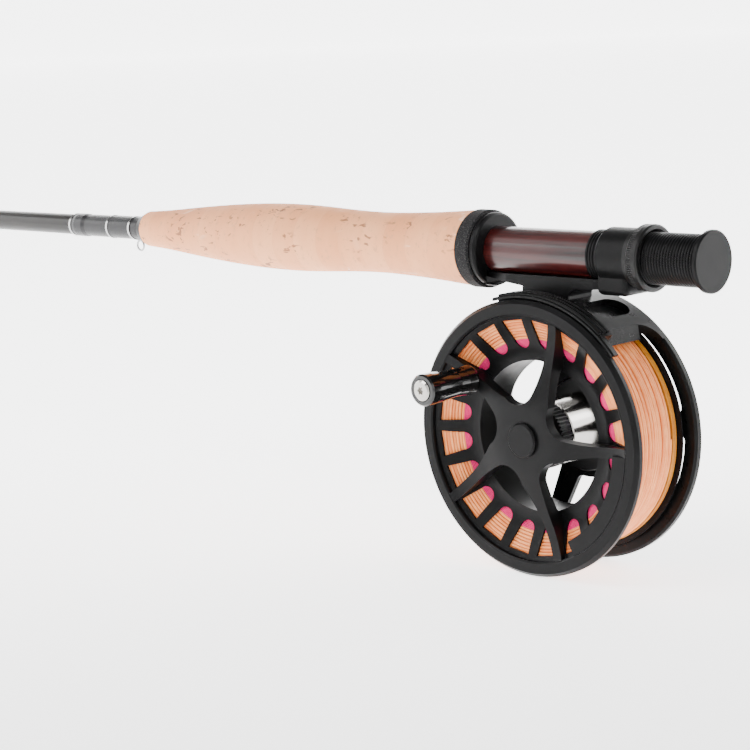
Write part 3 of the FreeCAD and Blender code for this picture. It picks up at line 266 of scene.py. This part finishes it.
def seat_insert():
    """Deep red wood grain under a thick clear coat; the grain runs along the rod."""
    m = Recipe("seat_insert", (0.1, 0.012, 0.012), 0.35, Coat_Weight=0.6, Coat_Roughness=0.14,
               Specular_IOR_Level=0.2)
    bands = m.noise(240.0, 4.0, 0.6, (0.05, 1.0, 1.0), 0.3)
    fine = m.noise(900.0, 3.0, 0.6, (0.03, 1.0, 1.0))
    color = m.ramp(bands, [(0.34, (0.006, 0.0015, 0.0015)), (0.48, (0.035, 0.003, 0.003)),
                           (0.60, (0.050, 0.006, 0.005)), (0.72, (0.014, 0.003, 0.003))])
    color = m.mix(m.ramp(fine, [(0.5, 0.0), (0.7, 0.7)]), color, (0.004, 0.001, 0.001))
    m.set("Base Color", color)
    return m.bump(fine, 0.05, 0.00003).material


def blank():
    """Graphite blank, near black, with fine spiral tape lines under lacquer."""
    m = Recipe("blank", (0.02, 0.02, 0.022), 0.30, Coat_Weight=0.2, Coat_Roughness=0.1,
               Specular_IOR_Level=0.12)
    wave = m.add("ShaderNodeTexWave", wave_type="BANDS", bands_direction="X")
    wave.inputs["Scale"].default_value = 260.0
    wave.inputs["Distortion"].default_value = 1.5
    m.link(m.place, wave.inputs["Vector"])
    cloud = m.noise(90.0, 3.0, 0.5, (0.3, 1.0, 1.0))
    base = m.ramp(cloud, [(0.3, (0.004, 0.0035, 0.0035)), (0.7, (0.011, 0.009, 0.008))])
    m.set("Base Color", m.mix(m.math("MULTIPLY", wave.outputs["Fac"], 0.18), base,
                              (0.022, 0.018, 0.015)))
    return m.bump(wave.outputs["Fac"], 0.06, 0.00003).material


def thread_wrap():
    """Black thread bound round the rod, under glossy varnish."""
    m = Recipe("thread_wrap", (0.015, 0.015, 0.02), 0.28, Coat_Weight=0.3, Coat_Roughness=0.05,
               Specular_IOR_Level=0.12)
    turns = m.add("ShaderNodeTexWave", wave_type="BANDS", bands_direction="X")
    turns.inputs["Scale"].default_value = 1500.0
    turns.inputs["Distortion"].default_value = 0.25
    m.link(m.place, turns.inputs["Vector"])
    m.set("Base Color", m.mix(turns.outputs["Fac"], (0.004, 0.004, 0.005), (0.011, 0.010, 0.012)))
    m.bump(turns.outputs["Fac"], 0.25, 0.00005)
    return m.bump(m.noise(160.0, 2.0), 0.12, 0.0002).material


def coated_line(name, light, dark):
    """Plastic-coated fly line: smooth, waxy, each turn a little different, with painted shade in
    dark bands between the turns.
    """
    m = Recipe(name, light, 0.42, Subsurface_Weight=0.1, Specular_IOR_Level=0.3)
    m.shader.inputs["Subsurface Radius"].default_value = (0.9, 0.4, 0.2)
    m.shader.inputs["Subsurface Scale"].default_value = 0.0006
    cloud = m.ramp(m.noise(240.0, 3.0), [(0.3, dark), (0.62, light)])
    # painted shade: the darker, warmer shadow colour, laid in streaks that ring the spool, stands
    # in for the shade in the gaps between turns
    shadow = tuple(c * share for c, share in zip(dark, (0.86, 0.66, 0.5)))
    streak = m.ramp(m.noise(1300.0, 2.0, 0.5, (0.04, 1.0, 0.04)), [(0.40, 1.0), (0.52, 0.0)])
    m.set("Base Color", m.mix(m.math("MULTIPLY", streak, 0.7), cloud, shadow))
    return m.bump(m.noise(2600.0, 2.0), 0.06, 0.00004).material


def braid():
    """Bright pink braided backing."""
    m = Recipe("backing_braid", (0.8, 0.02, 0.16), 0.75, Specular_IOR_Level=0.2)
    weave = m.noise(2600.0, 2.0)
    m.set("Base Color", m.mix(weave, (0.50, 0.006, 0.08), (0.88, 0.035, 0.22)))
    return m.bump(weave, 0.5, 0.0001).material


BLACK = anodised("satin_black", 0.0038, 0.34, 0.06)
FRAME_BLACK = anodised("frame_black", 0.004, 0.30, 0.02)
GLOSS = plastic("gloss_black", (0.004, 0.004, 0.004), 0.14, 0.45)
ACETAL = plastic("black_acetal", (0.006, 0.006, 0.006), 0.42)
STEEL = metal("polished_steel", (0.50, 0.48, 0.45), 0.15, (1.0, 14.0, 1.0))
SPINDLE_STEEL = metal("spindle_steel", (0.6, 0.6, 0.59), 0.2, (1.0, 20.0, 1.0))
BRIGHT = metal("bright_trim", (0.42, 0.42, 0.42), 0.16, (12.0, 1.0, 1.0))
CHROME = metal("guide_chrome", (0.70, 0.71, 0.72), 0.10, (1.0, 1.0, 1.0), 500.0)
CERAMIC = plastic("guide_ceramic", (0.03, 0.03, 0.034), 0.10, 0.6)
FOAM = plastic("arbor_foam", (0.24, 0.21, 0.17), 0.8)
FIBRE = plastic("drag_fibre", (0.10, 0.09, 0.08), 0.7)
SPRING_STEEL = metal("drag_spring_steel", (0.45, 0.42, 0.36), 0.3, (1.0, 1.0, 1.0))
BLANK = blank()
WRAP = thread_wrap()

FINISHES = {
    "satin_black": BLACK, "seat_insert_red": seat_insert(), "arbor_foam": FOAM,
    "cork": cork(), "composite_cork": composite_cork(), "blank": BLANK, "wrap": WRAP,
    "bright_trim": BRIGHT, "guide_wire": CHROME, "guide_ceramic": CERAMIC,
    "polished_steel": STEEL, "black_acetal": ACETAL, "gloss_black": GLOSS,
    "drag_fibre": FIBRE, "backing_braid": braid(),
    # painted shade: the core under the turns gets a darker copy of the turns' line colour, seen in
    # the gaps between them
    "fly_line": coated_line("fly_line_shaded_core", (0.72, 0.24, 0.075), (0.60, 0.17, 0.045)),
}
OWN_FINISH = {
    "locking_nut": knurled(), "reel_frame": FRAME_BLACK, "spindle": SPINDLE_STEEL,
    "drag_spring": SPRING_STEEL,
}

SLOT_OF = {entry["node"]: entry["material_slot"] for entry in frame["record"]["subparts"]}
for node, obj in frame["nodes"].items():
    finish = OWN_FINISH.get(node, FINISHES[SLOT_OF[node]])
    obj.data.materials.clear()
    obj.data.materials.append(finish)


def smooth(obj, degrees=32.0):
    """Smooth shading that keeps the machined edges."""
    modifier = obj.modifiers.new("edges", "NODES")
    modifier.node_group = shade_group(degrees)


def shade_group(degrees):
    """Nodes that smooth a mesh except at edges sharper than the angle."""
    name = "shade_%d" % degrees
    group = bpy.data.node_groups.get(name)
    if group:
        return group
    group = bpy.data.node_groups.new(name, "GeometryNodeTree")
    group.interface.new_socket("Geometry", in_out="INPUT", socket_type="NodeSocketGeometry")
    group.interface.new_socket("Geometry", in_out="OUTPUT", socket_type="NodeSocketGeometry")
    entry, leave = group.nodes.new("NodeGroupInput"), group.nodes.new("NodeGroupOutput")
    angle = group.nodes.new("GeometryNodeInputMeshEdgeAngle")
    compare = group.nodes.new("FunctionNodeCompare")
    compare.operation = "LESS_EQUAL"
    compare.inputs[1].default_value = math.radians(degrees)
    faces, edges = (group.nodes.new("GeometryNodeSetShadeSmooth") for _ in range(2))
    edges.domain = "EDGE"
    group.links.new(entry.outputs[0], faces.inputs["Geometry"])
    group.links.new(faces.outputs[0], edges.inputs["Geometry"])
    group.links.new(angle.outputs[0], compare.inputs[0])
    group.links.new(compare.outputs[0], edges.inputs["Shade Smooth"])
    group.links.new(edges.outputs[0], leave.inputs[0])
    return group


for obj in frame["nodes"].values():
    smooth(obj)


# ---------------------------------------------------------------- wound line

def mesh_object(name, verts, faces, material):
    """A smooth-shaded mesh with one material, placed in the shared frame."""
    mesh = bpy.data.meshes.new(name)
    mesh.from_pydata([tuple(v) for v in verts], [], faces)
    mesh.materials.append(material)
    mesh.shade_smooth()
    obj = bpy.data.objects.new(name, mesh)
    bpy.context.scene.collection.objects.link(obj)
    return obj


class Strands:
    """Collects round strands, each a list of (angle, radius, y), into one mesh."""

    def __init__(self, sides=8):
        self.verts, self.faces, self.sides = [], [], sides

    def add(self, points, thickness, closed):
        first = len(self.verts)
        count, sides = len(points), self.sides
        for angle, radius, along in points:
            out = Vector((math.cos(angle), 0.0, math.sin(angle)))
            centre = AXLE + out * radius + Vector((0.0, along, 0.0))
            for side in range(sides):
                turn = 2 * math.pi * side / sides
                self.verts.append(centre + (out * math.cos(turn)
                                            + Vector((0.0, math.sin(turn), 0.0))) * thickness)
        for index in range(count if closed else count - 1):
            here, after = first + index * sides, first + ((index + 1) % count) * sides
            for side in range(sides):
                beside = (side + 1) % sides
                self.faces.append((here + side, here + beside, after + beside, after + side))

    def finish(self, name, material):
        return mesh_object(name, self.verts, self.faces, material)


LINE_LOW, LINE_HIGH = BOXES["fly_line"]
LINE_OUTER = (LINE_HIGH.x - LINE_LOW.x) / 2
LINE_BACK = LINE_HIGH.y
BACKING_LOW, BACKING_HIGH = BOXES["backing"]
LINE_INNER = (BACKING_HIGH.x - BACKING_LOW.x) / 2  # the line starts where the backing ends
STRAND = 0.60 * MM  # radius of one turn of line
LAYER = 1.8 * STRAND  # from one layer of turns down to the next
TURN_STEPS, RING_STEPS = 72, 96
# (radius, y) in mm along the inner side of the spool's front flange
DISH = ((47.75, -19.0), (44.35, -17.6), (39.35, -15.1), (34.85, -13.1), (33.2, -12.9))


def front_at(radius):
    """The y of the flange's inner face at a radius, in metres."""
    wanted = radius / MM
    for (far, far_y), (near, near_y) in zip(DISH, DISH[1:]):
        if near <= wanted <= far:
            return (near_y + (far_y - near_y) * (wanted - near) / (far - near)) * MM
    return DISH[0][1] * MM if wanted > DISH[0][0] else DISH[-1][1] * MM


def wander(turn, seed):
    """A smooth, repeatable unevenness between -1 and 1."""
    return (math.sin(turn * 1.7 + seed * 2.1) + math.sin(turn * 0.73 + seed * 5.3)
            + math.sin(turn * 3.9 + seed)) / 3


def ring(radius, along, unevenness=0.0, waves=1, seed=0):
    """One closed turn round the axle, for Strands.add."""
    angles = [2 * math.pi * step / RING_STEPS for step in range(RING_STEPS)]
    return [(angle, radius + unevenness * wander(angle * waves, seed), along)
            for angle in angles]


def wound_line():
    """Level-wound turns seen from the side, and stacked turns against the flange."""
    strands = Strands()
    layers, columns = 3, 2
    pitch, row_height, end_room = 2.02 * STRAND, 1.9 * STRAND, 2.4 * MM
    for layer in range(layers):
        radius = LINE_OUTER - STRAND - 0.25 * MM - layer * LAYER
        start = front_at(radius) + STRAND + 0.05 * MM + (layer % 2) * STRAND
        room = LINE_BACK - end_room - STRAND - start
        turns = int(room / pitch)
        points = []
        for step in range(turns * TURN_STEPS + 1):
            turn = step / TURN_STEPS
            angle = 2 * math.pi * turn
            sway = 1.0 * STRAND * wander(angle * 0.83, layer) * (1.0 if layer == 0 else 0.3)
            bump = 0.25 * STRAND * wander(angle * 0.61, layer + 7)
            points.append((angle, radius + bump, start + turn * room / turns + sway))
        strands.add(points, STRAND, False)
    first = LINE_OUTER - STRAND - 0.1 * MM
    rows = round((first - LINE_INNER - STRAND) / row_height)
    for row in range(rows + 1):
        radius = first - row * (first - LINE_INNER - STRAND) / rows
        for column in range(columns):
            along = front_at(radius) + STRAND * (1.08 + 1.9 * column)
            strands.add(ring(radius, along, 0.22 * STRAND, 3, row + column), STRAND, True)
    return strands.finish("line_turns", coated_line("fly_line", (0.90, 0.34, 0.115),
                                                    (0.82, 0.26, 0.075)))


def lathe(name, outline, material):
    """Turns a closed outline of (radius, y) round the axle."""
    verts, faces = [], []
    count = len(outline)
    for step in range(RING_STEPS):
        angle = 2 * math.pi * step / RING_STEPS
        for radius, along in outline:
            verts.append(AXLE + Vector((radius * math.cos(angle), along, radius * math.sin(angle))))
    for step in range(RING_STEPS):
        here, after = step * count, ((step + 1) % RING_STEPS) * count
        for index in range(count):
            beside = (index + 1) % count
            faces.append((here + index, after + index, after + beside, here + beside))
    return mesh_object(name, verts, faces, material)


def line_core():
    """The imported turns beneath, which show as warm shadow in the gaps."""
    outer = LINE_OUTER - 2.4 * STRAND
    outline = [(LINE_INNER + 0.05 * MM, front_at(LINE_INNER) + 1.2 * STRAND)]
    outline += [(radius * MM, front_at(radius * MM) + 1.2 * STRAND) for radius in (40, 42, 44)]
    outline += [(outer, front_at(outer) + 1.2 * STRAND), (outer, LINE_BACK - 0.15 * MM),
                (LINE_INNER + 0.6 * MM, LINE_BACK - 0.8 * MM),
                (LINE_INNER + 0.05 * MM, LINE_BACK - 1.5 * MM)]
    return lathe("line_core", outline, FINISHES["fly_line"])


def mustard_turns():
    """Darker mustard turns against the back flange: a painted reflection of the orange line in the
    black flange.
    """
    strands = Strands()
    columns, layers = 2, 3
    for column in range(columns):
        for layer in range(layers):
            radius = LINE_OUTER - STRAND - layer * LAYER
            along = LINE_BACK - STRAND - 0.02 * MM - column * 1.95 * STRAND
            strands.add(ring(radius, along, 0.2 * STRAND, 2, column + layer), STRAND, True)
    # painted reflection: the mustard colour stands in for the orange line mirrored in the black
    # back flange
    return strands.finish("line_reflection_turns", coated_line("line_reflection", (0.52, 0.20, 0.010),
                                                            (0.40, 0.14, 0.006)))


turns, core, mustard = wound_line(), line_core(), mustard_turns()
for piece in (turns, core, mustard):
    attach(piece, "spool")
    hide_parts("fly_line")


def backing_turns():
    """Fine pink backing, wound under the line."""
    strands = Strands(sides=6)
    columns, thin = 2, 0.28 * MM
    inner = 33.25 * MM  # just clear of the arbor
    rows = int((LINE_INNER - inner - 2 * thin) / (1.8 * thin))
    for row in range(rows + 1):
        radius = inner + thin + row * (LINE_INNER - inner - 2 * thin) / rows
        for column in range(columns):
            along = front_at(radius) + thin * (1.15 + 1.9 * column)
            strands.add(ring(radius, along), thin, True)
    return strands.finish("backing_strands", FINISHES["backing_braid"])


backing = backing_turns()
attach(backing, "spool")


# ---------------------------------------------------------------- stage

def stage_material(name, color, roughness):
    """Matt white that glows more on the far side of the table, like a lit backdrop."""
    m = Recipe(name, color, roughness, Specular_IOR_Level=0.1, Emission_Color=(1, 1, 1, 1))
    cloud = m.noise(3.0, 2.0)
    m.set("Base Color", m.ramp(cloud, [(0.3, tuple(c * 0.985 for c in color)), (0.7, color)]))
    across = m.math("SUBTRACT", m.axis("Y"), m.axis("X"))
    glow = m.add("ShaderNodeMapRange", interpolation_type="SMOOTHSTEP")
    near_m, far_m, dim, bright = -0.9, 0.6, 0.35, 3.6
    for socket, value in zip(glow.inputs[1:5], (near_m, far_m, dim, bright)):
        socket.default_value = value
    m.link(across, glow.inputs["Value"])
    return m.set("Emission Strength", glow.outputs["Result"]).material


def sweep(name, floor_z, inner, outer, height):
    """A round floor that curves up into a pale wall far behind everything."""
    outline = [(0.0, 0.0), (inner, 0.0)]
    bend_steps, middle_x = 16, -1.2
    for step in range(1, bend_steps + 1):
        turn = math.pi / 2 * step / bend_steps
        outline.append((inner + (outer - inner) * math.sin(turn), height * (1 - math.cos(turn))))
    verts, faces = [], []
    sides, count = 96, len(outline)
    for side in range(sides):
        angle = 2 * math.pi * side / sides
        for radius, lift in outline:
            verts.append((radius * math.cos(angle) + middle_x, radius * math.sin(angle),
                          floor_z + lift))
    for side in range(sides):
        here, after = side * count, ((side + 1) % sides) * count
        for index in range(count - 1):
            faces.append((here + index, after + index, after + index + 1, here + index + 1))
    return mesh_object(name, verts, faces, stage_material("pale_floor", (0.93, 0.93, 0.93), 0.7))


floor = sweep("floor", LOW_CAD.z - 0.05 * MM, inner=13.0, outer=19.0, height=12.0)


def area_light(name, place, aim, size, power):
    """A white rectangular light at place, turned towards aim."""
    data = bpy.data.lights.new(name, "AREA")
    data.shape = "RECTANGLE"
    data.size, data.size_y = size
    data.energy = power
    light = bpy.data.objects.new(name, data)
    light.location = place
    light.rotation_mode = "QUATERNION"
    light.rotation_quaternion = (Vector(aim) - Vector(place)).to_track_quat("-Z", "Y")
    bpy.context.scene.collection.objects.link(light)


REEL = (AXLE.x, 0.0, AXLE.z)
area_light("key", (-0.7, -1.5, 1.9), REEL, (1.4, 1.0), 38.0)
area_light("fill", (1.6, -0.9, 0.8), REEL, (1.0, 1.4), 4.0)
area_light("rim", (0.7, 1.6, 1.1), REEL, (1.6, 0.8), 16.0)
area_light("far_fill", (-2.0, -1.6, 2.2), (-1.6, 0.0, 0.0), (2.0, 1.0), 10.0)

world = bpy.data.worlds.new("studio")
world.use_nodes = True
world.node_tree.nodes["Background"].inputs["Color"].default_value = (1.0, 1.0, 1.0, 1.0)
world.node_tree.nodes["Background"].inputs["Strength"].default_value = 0.34
bpy.context.scene.world = world


# ---------------------------------------------------------------- camera

def make_camera():
    """A long lens from the front and the butt's side, a little above the reel."""
    azimuth, elevation, roll = math.radians(44.74), math.radians(9.797), math.radians(-2.667)
    distance, target = 0.8691, Vector((-0.17245, 0.0, -0.0561))
    back = Vector((math.sin(azimuth) * math.cos(elevation),
                   -math.cos(azimuth) * math.cos(elevation), math.sin(elevation)))
    level_right = (-back).cross(Vector((0.0, 0.0, 1.0))).normalized()
    level_up = level_right.cross(-back)
    right = math.cos(roll) * level_right + math.sin(roll) * level_up
    up = -math.sin(roll) * level_right + math.cos(roll) * level_up
    data = bpy.data.cameras.new("camera")
    data.lens, data.sensor_width = 99.78, 36.0
    data.clip_start, data.clip_end = 0.05, 60.0
    camera = bpy.data.objects.new("camera", data)
    turn = Matrix((right, up, back)).transposed()
    camera.matrix_world = Matrix.Translation(target + back * distance) @ turn.to_4x4()
    bpy.context.scene.collection.objects.link(camera)
    bpy.context.scene.camera = camera


make_camera()
